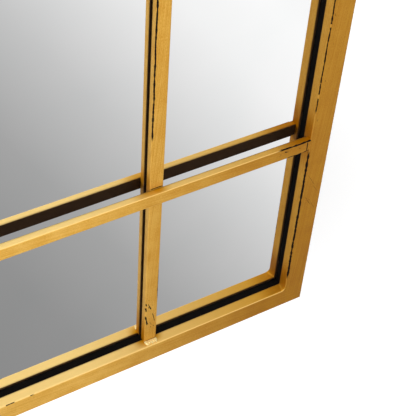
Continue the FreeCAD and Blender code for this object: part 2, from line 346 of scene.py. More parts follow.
@dataclass
class Gilding:
    """Gilt paint on one bar, with its brush marks, wear, painted highlights and painted shade.

    Args:
        paint: The paint.
        name: Name of the material.
        run: The way the bar runs.
        back: Depth of the bar's back, towards which painted shade darkens the sides.
        edges: Lines where the gold is rubbed through, and any line of painted shade across the bar.
        patches: Places where the gold is chipped.
        junction_shades: Spots of painted shade where parts meet at the welds.
    """

    paint: GiltPaint
    name: str
    run: Run
    back: float
    edges: Sequence[DarkLine] = ()
    patches: Sequence[ChippedPatch] = ()
    junction_shades: Sequence[JunctionShade] = ()
    # Breadth and length of marks. Real hair marks are near 0.4 broad and real flakes near 0.05,
    # and both are drawn coarser so that they show.
    streak_size: Pair = (0.7, 60.0)
    flake_size: Pair = (0.5, 1.6)
    chip_size: Pair = (1.3, 4.5)
    cloud_size: float = 16.0
    streak_share: float = 0.62
    flake_share: float = 0.78
    cloud_share: float = 0.4
    tone_limits: Pair = (0.15, 1.65)
    tone_stops: tuple[float, float, float] = (0.40, 0.61, 0.50)
    brush_slant: float = 4.0
    brush_fineness: float = 0.6
    chip_fineness: float = 0.5
    mark_height: float = 0.06
    mark_strength: float = 0.35
    ground_drop: float = 1.5
    roughness_swing: float = 0.07
    edge_highlight_gloss: float = 0.12
    ground_roughness: float = 0.65
    clear_gloss: float = 0.1
    top_sheen_limits: Pair = (0.35, 0.95)
    top_sheen_cover: float = 0.85
    top_sheen_on_sides: float = 0.5
    # Where the painted shade towards the stiles and corners starts and ends, and how much of it each facing
    # gets.
    outer_shade_x_limits: Pair = (80.0, 265.0)
    outer_shade_z_limits: Pair = (60.0, 390.0)
    outer_shade_z_shares: Pair = (0.78, 1.05)
    outer_shade_on_sides: float = 0.72
    outer_shade_on_tops: float = 0.17
    junction_shade_on_fronts: float = 0.1
    junction_shade_core: float = 0.1
    front_limits: Pair = (-0.3, -0.9)
    back_limits: Pair = (0.03, 0.7)
    # Depth and share of the painted shade on the sides near the back.
    back_shade_depth: float = 2.6
    back_shade_cover: float = 0.45
    round_middle: float = 0.72
    round_limits: Pair = (0.32, 0.08)
    upper_limits: Pair = (0.2, 0.6)
    upper_highlight: Pair = (0.15, 0.65)
    wear_seeds: Pair = (3.0, 17.0)
    wear_periods: tuple[float, float, float] = (5.0, 11.0, 26.0)
    wear_breadths: Pair = (0.32, 0.68)
    wear_limits: Pair = (1.2, 0.7)
    wear_sharpness: float = 0.04
    wear_end: float = 6.0
    wear_end_share: float = 0.2
    chip_sharpness: float = 0.05
    chip_margins: Pair = (8.0, 1.0)
    chip_depth: float = 0.4

    def __post_init__(self) -> None:
        """Starts the material, with the place and the facing that its patterns use."""
        self.started, self.tree = start_material(self.name)
        self.add = partial(add, self.tree)
        self.place = millimetres(self.tree)
        self.parts = self.add("SeparateXYZ", {0: self.place}).outputs
        self.away = self.add("VectorMath", {0: self.place}, operation="ABSOLUTE")
        self.facing = normals(self.tree)

    def material(self) -> Material:
        """Makes the finish of the bar."""
        paint = self.paint
        streaks = self.marks(self.streak_size, self.brush_slant, self.brush_fineness)
        upward = self.upward()
        highlit = self.edge_highlights()
        # backs: the bare back faces, and the painted shade on the sides next to them.
        backs = self.ungilt_and_back_shade()
        rubbed = self.rubbed_through_or_shaded()
        # bare also holds the painted shade on the sides next to the backs.
        bare = self.add("Math", {0: rubbed, 1: backs}, operation="MAXIMUM")
        outer_shade_colour = self.add("Mix", {0: upward, 6: linear(paint.outer_shade_tone), 7: linear(paint.outer_shade_top_tone)}, **COLOURS)
        coats = (
            # Painted highlight on upward faces.
            ("MIX", upward, linear(paint.top_sheen)),
            # Painted shade towards the stiles and corners.
            ("MULTIPLY", self.outer_shade(upward), outer_shade_colour.outputs[2]),
            # Painted highlight on the round front edges.
            ("MIX", highlit, linear(paint.edge_highlight)),
            # Painted shade where parts meet at the welds.
            ("MULTIPLY", self.shaded_junctions(), linear(paint.junction_shade_tone)),
            # Ground on the back faces, and painted shade on the sides next to them.
            ("MIX", backs, linear(paint.ground)),
            # Rubbed lines and chips, and a line of painted shade where an upright meets a cross bar.
            ("MIX", rubbed, linear(paint.dark_line_colour)),
        )
        colour: Value = self.brushed_gold(streaks)
        for blend, share, coat in coats:
            mixed = self.add("Mix", {0: share, 6: colour, 7: coat}, **COLOURS, blend_type=blend)
            colour = mixed.outputs[2]
        swing = (paint.roughness + self.roughness_swing, paint.roughness - self.roughness_swing)
        gloss = self.add("MapRange", {0: streaks, **span(NOISE_USUAL, swing)})
        smooth = self.add("Math", {0: highlit, 1: -self.edge_highlight_gloss, 2: gloss}, operation="MULTIPLY_ADD")
        relief = self.add("Math", {0: bare, 1: -self.ground_drop, 2: streaks}, operation="MULTIPLY_ADD")
        shade(self.tree, {
            "Base Color": colour,
            "Metallic": self.add("MapRange", {0: bare, 3: paint.metallic, 4: 0.0}),
            "Roughness": self.add("Mix", {0: bare, 2: smooth, 3: self.ground_roughness}, data_type="FLOAT"),
            "Specular IOR Level": self.clear_gloss,
            "Normal": self.add("Bump", {"Strength": self.mark_strength, "Distance": self.mark_height * MM,
                                        "Height": relief}),
        })
        return self.started

    def marks(self, size: Pair, slant: float, fineness: float) -> Node:
        """Uneven marks that are longer along the bar than across it.

        Args:
            size: Breadth and length of a mark.
            slant: Lean of the marks from the bar's own direction, in degrees.
            fineness: Share of fine detail.

        Returns:
            Height of the marks, about 0.2 to 0.8.
        """
        breadth, length = size
        scale = [breadth] * 3
        scale["XYZ".index(self.run.value[0])] = length
        turn = (0.0, math.radians(slant), 0.0)
        laid = self.add("Mapping", {"Vector": self.place, "Rotation": turn, "Scale": scale},
                        vector_type="TEXTURE")
        return self.add("TexNoise", {"Vector": laid, "Scale": 1.0, "Detail": 3.0, "Roughness": fineness})

    def brushed_gold(self, streaks: Node) -> Node:
        """Gold of the paint, which the brush marks, the flakes and broad clouds make uneven.

        Args:
            streaks: Height of the brush marks.

        Returns:
            The colour.
        """
        flakes = self.marks(self.flake_size, self.brush_slant, self.brush_fineness)
        clouds = self.add("TexNoise", {"Vector": self.place, "Scale": 1 / self.cloud_size, "Detail": 3.0})
        level: Value = 0.0
        for height, share in ((streaks, self.streak_share), (flakes, self.flake_share),
                              (clouds, self.cloud_share)):
            level = self.add("Math", {0: height, 1: share, 2: level}, operation="MULTIPLY_ADD")
        tone = self.add("MapRange", {0: level, **span(self.tone_limits)})
        colours = (self.paint.deep, self.paint.pale, self.paint.gold)
        return self.add("ValToRGB", {0: tone}, tuple(zip(self.tone_stops, colours)))

    def upward(self) -> Node:
        """How far the surface faces up, where a paler painted highlight goes, with less on the sides."""
        turned = self.add("Math", {0: self.facing["X"]}, operation="ABSOLUTE")
        held = self.add("Math", {0: turned, 1: self.top_sheen_on_sides, 2: self.facing["Z"]},
                        operation="MULTIPLY_ADD")
        return self.add("MapRange", {0: held, **span(self.top_sheen_limits, (0.0, self.top_sheen_cover))}, **SOFT)

    def ungilt_and_back_shade(self) -> Node:
        """One on the back of the bar, which was left bare of gold, and less on the sides next to it, where
        painted shade darkens them towards the back.
        """
        depths = (self.back - self.back_shade_depth, self.back)
        back_shade = self.add("MapRange", {0: self.parts["Y"], **span(depths, (0.0, self.back_shade_cover))}, **SOFT)
        bare = self.add("MapRange", {0: self.facing["Y"], **span(self.back_limits)}, **SOFT)
        return self.add("Math", {0: back_shade, 1: bare}, operation="MAXIMUM")

    def outer_shade(self, upward: Node) -> Value:
        """How much painted shade darkens and browns the gold: least on the sides, most towards the stiles
        and corners.

        Args:
            upward: How far the surface faces up.

        Returns:
            Amount of painted shade, from zero to about one.
        """
        parts = self.add("SeparateXYZ", {0: self.away}).outputs
        amount = self.add("MapRange", {0: parts["X"], **span(self.outer_shade_x_limits)})
        corners = self.add("MapRange", {0: parts["Z"], **span(self.outer_shade_z_limits, self.outer_shade_z_shares)})
        shares = (self.outer_shade_on_sides, 1.0)
        fronts = self.add("MapRange", {0: self.facing["Y"], **span(self.front_limits, shares)})
        laid = self.add("Math", {0: upward, 1: self.outer_shade_on_tops, 2: fronts}, operation="MULTIPLY_ADD")
        return overlap(self.tree, amount, corners, laid)

    def shaded_junctions(self) -> Value:
        """How far painted shade darkens and browns the gold where parts meet, least on the fronts."""
        mask: Value = 0.0
        for shade_spot in self.junction_shades:
            off = self.add("VectorMath", {0: self.away, 1: shade_spot.place}, operation="DISTANCE")
            shares = span((shade_spot.reach, self.junction_shade_core * shade_spot.reach), (0.0, shade_spot.strength))
            spot = self.add("MapRange", {0: off.outputs["Value"], **shares}, **SOFT)
            mask = self.add("Math", {0: mask, 1: spot}, operation="MAXIMUM")
        shares = (1.0, self.junction_shade_on_fronts)
        sides = self.add("MapRange", {0: self.facing["Y"], **span(self.front_limits, shares)})
        return overlap(self.tree, mask, sides)

    def edge_highlights(self) -> Value:
        """Where a front edge rounds over and gets a painted highlight, most on upper edges."""
        half_turned = self.add("Math", {0: self.facing["Y"], 1: self.round_middle}, operation="ADD")
        off = self.add("Math", {0: half_turned}, operation="ABSOLUTE")
        highlit = self.add("MapRange", {0: off, **span(self.round_limits)}, **SOFT)
        upper = self.add("MapRange", {0: self.facing["Z"], **span(self.upper_limits, self.upper_highlight)})
        return overlap(self.tree, highlit, upper)

    def rubbed_through_or_shaded(self) -> Value:
        """One where the ground shows through, on rubbed edges and chips, and on any line of painted shade,
        and zero elsewhere.
        """
        first, step = self.wear_seeds
        marks = [self.rubbed(edge, step * number + first) for number, edge in enumerate(self.edges)]
        marks += [self.chipped(patch) for patch in self.patches]
        mask: Value = 0.0
        for mark in marks:
            mask = self.add("Math", {0: mask, 1: mark}, operation="MAXIMUM")
        return mask

    def passed(self, cover: float) -> float:
        """Level that about the given share of a noise lies above."""
        return NOISE_MIDDLE + NOISE_SPREAD * (0.5 - cover)

    def between(self, value: Socket, limits: Pair, soft: float) -> Value:
        """One between two limits, with soft ends.

        Args:
            value: Value to test.
            limits: Lower and upper limit.
            soft: Length of each soft end.

        Returns:
            The test's result, from zero to one.
        """
        low, high = limits
        rise = self.add("MapRange", {0: value, **span((low, low + soft))}, **SOFT)
        fall = self.add("MapRange", {0: value, **span((high, high - soft))}, **SOFT)
        return overlap(self.tree, rise, fall)

    def rubbed(self, edge: DarkLine, seed: float) -> Value:
        """One rubbed line, ragged and broken.

        Args:
            edge: The line.
            seed: Start of its pattern.

        Returns:
            One on the line and zero off it.
        """
        along, across = (self.parts[axis] for axis in edge.run.value)
        waves = []
        for period in self.wear_periods:
            phase = self.add("Math", {0: along, 1: 1 / period, 2: seed + period}, operation="MULTIPLY_ADD")
            waves.append(self.add("TexNoise", {"W": phase, "Scale": 1.0, "Detail": 2.0},
                                  noise_dimensions="1D"))
        ragged, broken, wandering = waves
        slope = math.tan(math.radians(edge.lean))
        upended = self.add("Math", {0: along, 1: -slope, 2: across}, operation="MULTIPLY_ADD")
        drift = self.add("Math", {0: wandering, 1: -1.0, 2: upended}, operation="MULTIPLY_ADD")
        spot = self.add("CombineXYZ", {0: drift, 1: self.parts["Y"]})
        start = edge.across - NOISE_MIDDLE - slope * (edge.start + edge.end) / 2
        gap = self.add("VectorMath", {0: spot, 1: (start, edge.depth, 0.0)}, operation="DISTANCE")
        breadths = (self.wear_breadths[0] * edge.breadth, self.wear_breadths[1] * edge.breadth)
        half = self.add("MapRange", {0: ragged, **span(NOISE_USUAL, breadths)})
        share = self.add("Math", {0: gap.outputs["Value"], 1: half}, operation="DIVIDE")
        line = self.add("MapRange", {0: share, **span(self.wear_limits)}, **SOFT)
        level = self.passed(edge.cover)
        levels = (level - self.wear_sharpness, level + self.wear_sharpness)
        kept = self.add("MapRange", {0: broken, **span(levels)}, **SOFT)
        soft = min(self.wear_end, self.wear_end_share * (edge.end - edge.start))
        return overlap(self.tree, line, kept, self.between(along, (edge.start, edge.end), soft))

    def chipped(self, patch: ChippedPatch) -> Value:
        """Chips in one patch on the front of a bar.

        Args:
            patch: The patch.

        Returns:
            One in a chip and zero outside.
        """
        along, across = (self.parts[axis] for axis in self.run.value)
        flakes = self.marks(self.chip_size, patch.slant, self.chip_fineness)
        level = self.passed(patch.cover)
        chips = self.add("MapRange", {0: flakes, **span((level, level + self.chip_sharpness))}, **SOFT)
        ends, sides = self.chip_margins
        inside = self.between(along, patch.along, ends)
        beside = self.between(across, patch.across, sides)
        depths = (patch.depth + self.chip_depth, patch.depth)
        front = self.add("MapRange", {0: self.parts["Y"], **span(depths)})
        return overlap(self.tree, chips, inside, beside, front)


@dataclass(frozen=True)
class SilveredGlass:
    """Float glass silvered on its back, with ground edges.

    The face is a clear, slightly cool mirror with a breath of haze, and the ground edges
    are a dull sea green.
    """

    silver: str = "#FBFBFB"
    haze: str = "#F8F9F9"
    edge: str = "#6E8C82"
    edge_roughness: float = 0.5
    haze_size: float = 60.0
    haze_stops: Pair = (0.35, 0.75)
    haze_roughness: Pair = (0.004, 0.012)
    front_limits: Pair = (-0.8, -0.95)

    def material(self) -> Material:
        """Makes the finish of the mirror sheet."""
        material, tree = start_material("silvered_glass")
        place = millimetres(tree)
        haze = add(tree, "TexNoise", {"Vector": place, "Scale": 1 / self.haze_size, "Detail": 2.0})
        face = add(tree, "ValToRGB", {0: haze}, tuple(zip(self.haze_stops, (self.silver, self.haze))))
        front = add(tree, "MapRange", {0: normals(tree)["Y"], **span(self.front_limits)})
        colour = add(tree, "Mix", {0: front, 6: linear(self.edge), 7: face}, **COLOURS)
        gloss = add(tree, "MapRange", {0: haze, **span((0.0, 1.0), self.haze_roughness)})
        rough = add(tree, "Mix", {0: front, 2: self.edge_roughness, 3: gloss}, data_type="FLOAT")
        shade(tree, {"Base Color": colour.outputs[2], "Metallic": front, "Roughness": rough})
        return material


@dataclass(frozen=True)
class SpeckledFinish:
    """Finish of a plain part on the back, with the speckle of the real material.

    Args:
        name: Name of the material.
        dark: Darkest colour.
        middle: Main colour.
        light: Lightest colour.
        grain: Size of the speckle.
        stretch: How much longer than broad the speckle is, along Z.
        metallic: One for a metal.
        roughness: Middle roughness.
        relief: Depth of the surface's unevenness.
        sheen: Level of its clear reflection.
    """

    name: str
    dark: str
    middle: str
    light: str
    grain: float
    stretch: float
    metallic: float
    roughness: float
    relief: float
    sheen: float = 0.5
    cloud_scale: float = 0.13
    cloud_share: float = 0.5
    tone_stops: tuple[float, float, float] = (0.50, 1.0, 0.75)
    roughness_swing: float = 0.15
    relief_strength: float = 0.4

    def material(self) -> Material:
        """Makes the finish."""
        material, tree = start_material(self.name)
        size = (self.grain, self.grain, self.grain * self.stretch)
        spots = add(tree, "Mapping", {"Vector": millimetres(tree), "Scale": size}, vector_type="TEXTURE")
        fine = add(tree, "TexNoise", {"Vector": spots, "Scale": 1.0, "Detail": 4.0})
        broad = add(tree, "TexNoise", {"Vector": spots, "Scale": self.cloud_scale, "Detail": 2.0})
        tone = add(tree, "Math", {0: broad, 1: self.cloud_share, 2: fine}, operation="MULTIPLY_ADD")
        stops = tuple(zip(self.tone_stops, (self.dark, self.light, self.middle)))
        swing = ((1 - self.roughness_swing) * self.roughness,
                 min(1.0, (1 + self.roughness_swing) * self.roughness))
        shade(tree, {
            "Base Color": add(tree, "ValToRGB", {0: tone}, stops),
            "Metallic": self.metallic,
            "Roughness": add(tree, "MapRange", {0: fine, **span(NOISE_USUAL, swing)}),
            "Specular IOR Level": self.sheen,
            "Normal": add(tree, "Bump", {"Strength": self.relief_strength, "Distance": self.relief * MM,
                                         "Height": fine}),
        })
        return material


# Hardboard: pressed wood fibre, dull brown with a felted speckle.
FIBREBOARD = SpeckledFinish("fibreboard", "#6A5139", "#7C6146", "#8D7253", 0.8, 1.5, 0.0, 0.72, 0.1)
# Black closed-cell foam: matt and finely pitted, and made near black so that it also stands as painted
# shade in the gap between the frame and the glass.
FOAM_AND_GAP_SHADE = SpeckledFinish("foam_tape", "#050403", "#090706", "#100D0A", 0.6, 1.0, 0.0, 0.9, 0.2, 0.1)
# Bright zinc plate: cool grey with a faint bluish and yellowish cloud.
ZINC = SpeckledFinish("zinc_plate", "#9DA3A6", "#B9BDBE", "#CFCDC4", 2.2, 1.6, 1.0, 0.34, 0.02)
# Nickel plate: warm pale grey, smoother than zinc.
NICKEL = SpeckledFinish("nickel_plate", "#B7B1A6", "#CBC6BB", "#DCD8CE", 3.0, 1.0, 1.0, 0.24, 0.01)
# Moulded black rubber: soft sheen with a fine matt skin.
RUBBER = SpeckledFinish("bumper_rubber", "#17181A", "#222325", "#303133", 0.8, 1.0, 0.0, 0.6, 0.05)


@dataclass(frozen=True)
class Stock:
    """Steel of one kind of bar.

    Args:
        run: The way the bar runs.
        front: Depth of its front.
        back: Depth of its back.
        rounding: Radius of its long edges.
    """

    run: Run
    front: float
    back: float
    rounding: float


# Stock of the bars, by the last word of their nodes' names.
STOCK = {
    "stile": Stock(Run.UPRIGHT, -27.5, -17.5, 1.5),
    "rail": Stock(Run.LEVEL, -27.5, -17.5, 1.5),
    "bar": Stock(Run.LEVEL, -27.5, -21.5, 1.0),
    "upright": Stock(Run.UPRIGHT, -21.5, -15.5, 1.0),
}

# Rubbed lines on each bar: side of the bar, ends along it, breadth and cover. A number in place
# of the side is the level of a line that runs across an upright, which is painted shade where the
# upright meets a cross bar.
RUBBED_AND_SHADE_LINES = {
    "right_stile": (("low", -366, -211, 1.9, 1.1), ("low", -176, 120, 1.1, 0.75),
                    ("low", 150, 372, 1.1, 0.5)),
    "left_stile": (("high", -372, -60, 1.1, 0.55), ("high", 40, 372, 1.2, 0.6)),
    "bottom_rail": (("high", -270, 40, 0.9, 0.4),),
    "top_rail": (("low", -240, 270, 1.1, 0.5),),
    "lower_cross_bar": (("high", 248, 284, 1.5, 0.95), ("low", 256, 284, 1.5, 0.95),
                        ("high", -277, -60, 1.0, 0.5)),
    "upper_cross_bar": (("high", -270, 60, 1.1, 0.5), ("low", 120, 277, 1.0, 0.55)),
    # The level line at -200.2 is painted shade where this upright meets the lower cross bar.
    "right_upright": (("low", -155, 160, 1.4, 0.97), (-200.2, 140.0, 152.5, 0.7, 0.9),
                      ("high", -330, -290, 0.7, 0.6)),
    "left_upright": (("high", -60, 260, 1.2, 0.7), ("low", -340, -180, 1.0, 0.55)),
}
# Scratches on a bar's front: X and Z of the upper end and of the lower end, and breadth.
SCRATCHES = {
    "right_stile": (((283.6, -239.6), (292.3, -254.1), 0.24), ((290.1, -253.2), (296.2, -262.8), 0.2),
                    ((283.5, -263.2), (291.9, -277.6), 0.24), ((287.7, -267.4), (296.4, -283.2), 0.2)),
    "right_upright": (((140.7, -345.0), (143.5, -359.0), 1.5), ((140.8, -329.6), (141.5, -333.6), 1.1),
                      ((140.7, -335.0), (141.8, -340.6), 1.5), ((143.0, -330.6), (146.2, -340.2), 0.9),
                      ((147.3, -344.0), (150.2, -358.0), 0.6)),
}
# Chipped patches: limits across and along the bar, slant and cover.
CHIPS = {
    "right_stile": ((280.5, 286), (-190, -20), -20.0, 0.22),
    "right_upright": ((140.5, 151.0), (-370, -318), -14.0, 0.25),
    "lower_cross_bar": ((-207, -200.5), (238, 280), 16.0, 0.27),
}


@dataclass
class WindowFrame:
    """The gilt frame: four tubes, four glazing bars and the welds at the cross bars' ends."""

    gilt: GiltPaint = GiltPaint()
    line_inset: float = 0.5
    full_cover: float = 1.2
    seam_gap: float = 0.4
    seam_breadth: float = 1.7
    weld_line_insets: Pair = (0.5, 0.6)
    weld_line_reach: Pair = (3.0, 5.0)
    weld_line_breadth: float = 1.8

    def edge(self, node: str, side: Union[str, float], start: float, end: float, breadth: float,
             cover: float) -> DarkLine:
        """Rubbed line beside one long edge of a bar, or a line of painted shade across an upright.

        Args:
            node: CAD node of the bar.
            side: Low or high, across the bar, or the level of a line of painted shade across an upright.
            start: Lower end of the line.
            end: Upper end of the line.
            breadth: Breadth of the line.
            cover: Share of the line that is rubbed through.

        Returns:
            The line, on the round of the edge.
        """
        stock = STOCK[node.split("_")[-1]]
        if isinstance(side, float):
            return DarkLine(Run.LEVEL, side, stock.front, start, end, breadth, cover)
        low, high = (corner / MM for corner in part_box(node))
        axis = "XYZ".index(stock.run.value[1])
        across = low[axis] + self.line_inset if side == "low" else high[axis] - self.line_inset
        radius = stock.rounding
        drop = radius - math.sqrt(radius ** 2 - (radius - self.line_inset) ** 2)
        return DarkLine(stock.run, across, stock.front + drop, start, end, breadth, cover)

    def scratch(self, depth: float, top: Pair, foot: Pair, breadth: float) -> DarkLine:
        """Short leaning scratch on the front of an upright or a stile.

        Args:
            depth: Depth of the bar's front.
            top: X and Z of its upper end.
            foot: X and Z of its lower end.
            breadth: Its breadth.

        Returns:
            The scratch.
        """
        lean = math.degrees(math.atan2(top[0] - foot[0], top[1] - foot[1]))
        middle = (top[0] + foot[0]) / 2
        return DarkLine(Run.UPRIGHT, middle, depth, foot[1], top[1], breadth, self.full_cover, lean)

    def junction_shades(self, kind: str = "") -> list[JunctionShade]:
        """Spots of painted shade where parts meet: at the uprights' ends, the crossings and the bars' ends.

        Args:
            kind: Kind of bar: an upright is shaded further up from its ends.

        Returns:
            The spots.
        """
        low, high = (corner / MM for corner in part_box("right_upright"))
        bar_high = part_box("lower_cross_bar")[1] / MM
        front = -STOCK["upright"].front
        bar_back = -STOCK["bar"].back
        side = (front - STOCK["upright"].back) / 2
        spots = [
            JunctionShade((low.x, side, high.z), 11.0, 1.0),
            JunctionShade((high.x, side, high.z), 9.0, 1.0),
            JunctionShade((low.x, side, -bar_high.z), 20.0, 0.9),
            JunctionShade(((low.x + high.x) / 2, front, -bar_high.z), 13.0, 1.0),
            JunctionShade((bar_high.x, bar_back, -bar_high.z), 40.0, 1.0),
            JunctionShade((bar_high.x, bar_back, high.z - 12.0), 28.0, 0.85),
        ]
        if kind == "upright":
            spots.append(JunctionShade((low.x, side, high.z), 50.0, 1.0))
        return spots

    def dress_all(self) -> None:
        """Dresses the tubes, the bars and the cross bars' welds."""
        for node, lines in RUBBED_AND_SHADE_LINES.items():
            kind = node.split("_")[-1]
            stock = STOCK[kind]
            edges = [self.edge(node, *line) for line in lines]
            edges += [self.scratch(stock.front, *ends) for ends in SCRATCHES.get(node, ())]
            patches = []
            if node in CHIPS:
                across, along, slant, cover = CHIPS[node]
                patches.append(ChippedPatch(across, along, stock.front, slant, cover))
            dress(node, Gilding(self.gilt, f"gilt_paint_{node}", stock.run, stock.back, edges, patches,
                                self.junction_shades(kind)).material())
        stock = STOCK["bar"]
        dress("cross_bar_welds", Gilding(self.gilt, "gilt_paint_cross_bar_welds", stock.run, stock.back,
                                         self.seams(), junction_shades=self.junction_shades()).material())

    def seams(self) -> list[DarkLine]:
        """Dark lines round the cross bars' welds."""
        seams = []
        front = STOCK["bar"].front
        for node in ("lower_cross_bar", "upper_cross_bar"):
            low, high = (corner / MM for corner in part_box(node))
            for end in (low.x - self.seam_gap, high.x + self.seam_gap):
                seams.append(DarkLine(Run.UPRIGHT, end, front, low.z, high.z, self.seam_breadth,
                                        self.full_cover))
        low, high = (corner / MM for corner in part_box("lower_cross_bar"))
        below, above = self.weld_line_insets
        inward, outward = self.weld_line_reach
        for level in (low.z + below, high.z - above):
            seams.append(DarkLine(Run.LEVEL, level, front + self.seam_gap, high.x - inward,
                                    high.x + outward, self.weld_line_breadth, self.full_cover))
        return seams


@dataclass
class CornerWelds:
    """Welds in the frame's inside corners, full at the front and dying out towards the back."""

    gilt: GiltPaint = GiltPaint(metallic=0.5, roughness=0.33)
    radius: float = 4.0
    back_radius: float = 0.6
    frame_round: float = STOCK["stile"].rounding
    back_gap: float = 0.8
    round_steps: int = 8
    taper_steps: int = 6
    sides: int = 18
    sharp_angle: float = 40.0

    def build(self, junction_shades: Sequence[JunctionShade]) -> None:
        """Builds the four welds as one piece.

        Args:
            junction_shades: Spots of painted shade where parts meet at the welds.
        """
        stile_low, stile_high = (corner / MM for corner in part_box("right_stile"))
        inner = (stile_low.x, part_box("top_rail")[0].z / MM)
        mesh = bmesh.new()
        for sign_x in (1, -1):
            for sign_z in (1, -1):
                self.fillet(mesh, inner, (sign_x, sign_z), stile_low.y, stile_high.y)
        gilding = Gilding(self.gilt, "gilt_paint_corner_welds", Run.LEVEL, stile_high.y, junction_shades=junction_shades)
        new_piece("corner_weld_fillets", mesh, gilding.material(), "gilt_steel", "corner_welds",
                  sharp_angle=self.sharp_angle)

    def depths(self, front: float, back: float) -> list[float]:
        """Depths of the rings, close together where the front edge is round.

        Args:
            front: Depth of the frame's front.
            back: Depth of the frame's back.

        Returns:
            The depths, from the front.
        """
        turns = (step / self.round_steps * QUARTER_TURN for step in range(self.round_steps + 1))
        places = [front + self.frame_round * (1 - math.cos(turn)) for turn in turns]
        round_end = places[-1]
        length = back - self.back_gap - round_end
        for step in range(self.taper_steps):
            places.append(round_end + length * (step + 1) / self.taper_steps)
        return places

    def fillet(self, mesh: Mesh, inner: Pair, signs: tuple[int, int], front: float,
               back: float) -> None:
        """Fills one inside corner.

        Args:
            mesh: Mesh that takes it.
            inner: X of the stile's inside and Z of the rail's, with no signs.
            signs: Signs of X and Z at this corner.
            front: Depth of the frame's front.
            back: Depth of the frame's back.
        """
        rings = []
        depths = self.depths(front, back)
        round_end = front + self.frame_round
        for depth in depths:
            past = max(0.0, round_end - depth, depth - (back - self.frame_round))
            spread = self.frame_round - math.sqrt(self.frame_round ** 2 - past ** 2)
            share = max(0.0, depth - round_end) / (depths[-1] - round_end)
            radius = self.radius + (self.back_radius - self.radius) * share
            outline = [(inner[0] + spread, inner[1] + spread)]
            for side in range(self.sides + 1):
                turn = side / self.sides * QUARTER_TURN
                outline.append((inner[0] - radius + (radius + spread) * math.cos(turn),
                                inner[1] - radius + (radius + spread) * math.sin(turn)))
            places = (Vector((signs[0] * x, depth, signs[1] * z)) for x, z in outline)
            rings.append([mesh.verts.new(place * MM) for place in places])
        skin(mesh, rings)
        for ring in (rings[0], rings[-1]):
            for near, far in zip(ring[1:], ring[2:]):
                mesh.faces.new((ring[0], near, far))


@dataclass
class FootBeads:
    """Low weld beads in front of the uprights' ends, laid in short overlapping ripples."""

    # Its fourth colour is a painted highlight on the beads' upward faces.
    gilt: GiltPaint = GiltPaint("#DCAC42", "#EAC05A", "#F8D67C", "#FFF1BA", metallic=0.42, roughness=0.2)
    run: float = 5.2
    rise: float = 1.2
    crown: float = 0.6
    fill: float = 0.95
    end_size: float = 0.6
    end_growth: float = 2.2
    ripple: float = 4.2
    ripple_shift: float = 0.25
    ripple_rate: float = 2.1
    ripple_power: float = 0.9
    valley: float = 0.62
    sway: float = 0.06
    sway_rate: float = 1.3
    seed_step: float = 5.3
    steps: int = 56
    sides: int = 12

    def build(self) -> None:
        """Builds the four beads as one piece."""
        mesh = bmesh.new()
        for number, name in enumerate(("left_upright", "right_upright")):
            low, high = (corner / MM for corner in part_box(name))
            for sign, foot in ((1, low.z), (-1, high.z)):
                self.bead(mesh, (low.x, high.x), low.y, foot, sign, self.seed_step * number + sign)
        gilding = Gilding(self.gilt, "gilt_paint_upright_welds", Run.LEVEL, STOCK["upright"].back)
        new_piece("upright_weld_beads", mesh, gilding.material(), "gilt_steel", "upright_welds")

    def reach(self, x: float, ends: Pair, seed: float) -> float:
        """Size of a bead's section, which the ripples and the bead's ends make less than full.

        Args:
            x: Place along the bead.
            ends: Ends of the bead.
            seed: Start of the bead's unevenness.

        Returns:
            Share of the full size.
        """
        share = (x - ends[0]) / (ends[1] - ends[0])
        near_end = min(1.0, self.end_size + self.end_growth * min(share, 1 - share))
        shift = self.ripple_shift * math.sin(self.ripple_rate * x + seed)
        phase = (x - ends[0]) / self.ripple + shift
        swell = self.valley + (1 - self.valley) * abs(math.sin(math.pi * phase)) ** self.ripple_power
        return near_end * swell * (1 + self.sway * math.sin(self.sway_rate * x + seed))

    def bead(self, mesh: Mesh, ends: Pair, face: float, foot: float, sign: int,
             seed: float) -> None:
        """Lays one bead from one side of an upright to the other.

        Args:
            mesh: Mesh that takes it.
            ends: Sides of the upright.
            face: Depth of the upright's front.
            foot: Level of the upright's end.
            sign: One at the lower end and minus one at the upper end.
            seed: Start of the bead's unevenness.
        """
        rings = []
        for step in range(self.steps + 1):
            x = ends[0] + step / self.steps * (ends[1] - ends[0])
            reach = self.reach(x, ends, seed)
            ring = [mesh.verts.new(Vector((x, face, foot)) * MM)]
            for side in range(self.sides + 1):
                turn = side / self.sides * QUARTER_TURN
                bulge = 1 + self.crown / self.run * math.sin(2 * turn)
                out = min(1.0, reach * bulge * self.fill)
                forward = self.run * out * math.cos(turn)
                upward = self.rise * out * math.sin(turn)
                ring.append(mesh.verts.new(Vector((x, face - forward, foot + sign * upward)) * MM))
            rings.append(ring)
        skin(mesh, rings)
        mesh.faces.new(rings[0])
        mesh.faces.new(list(reversed(rings[-1])))


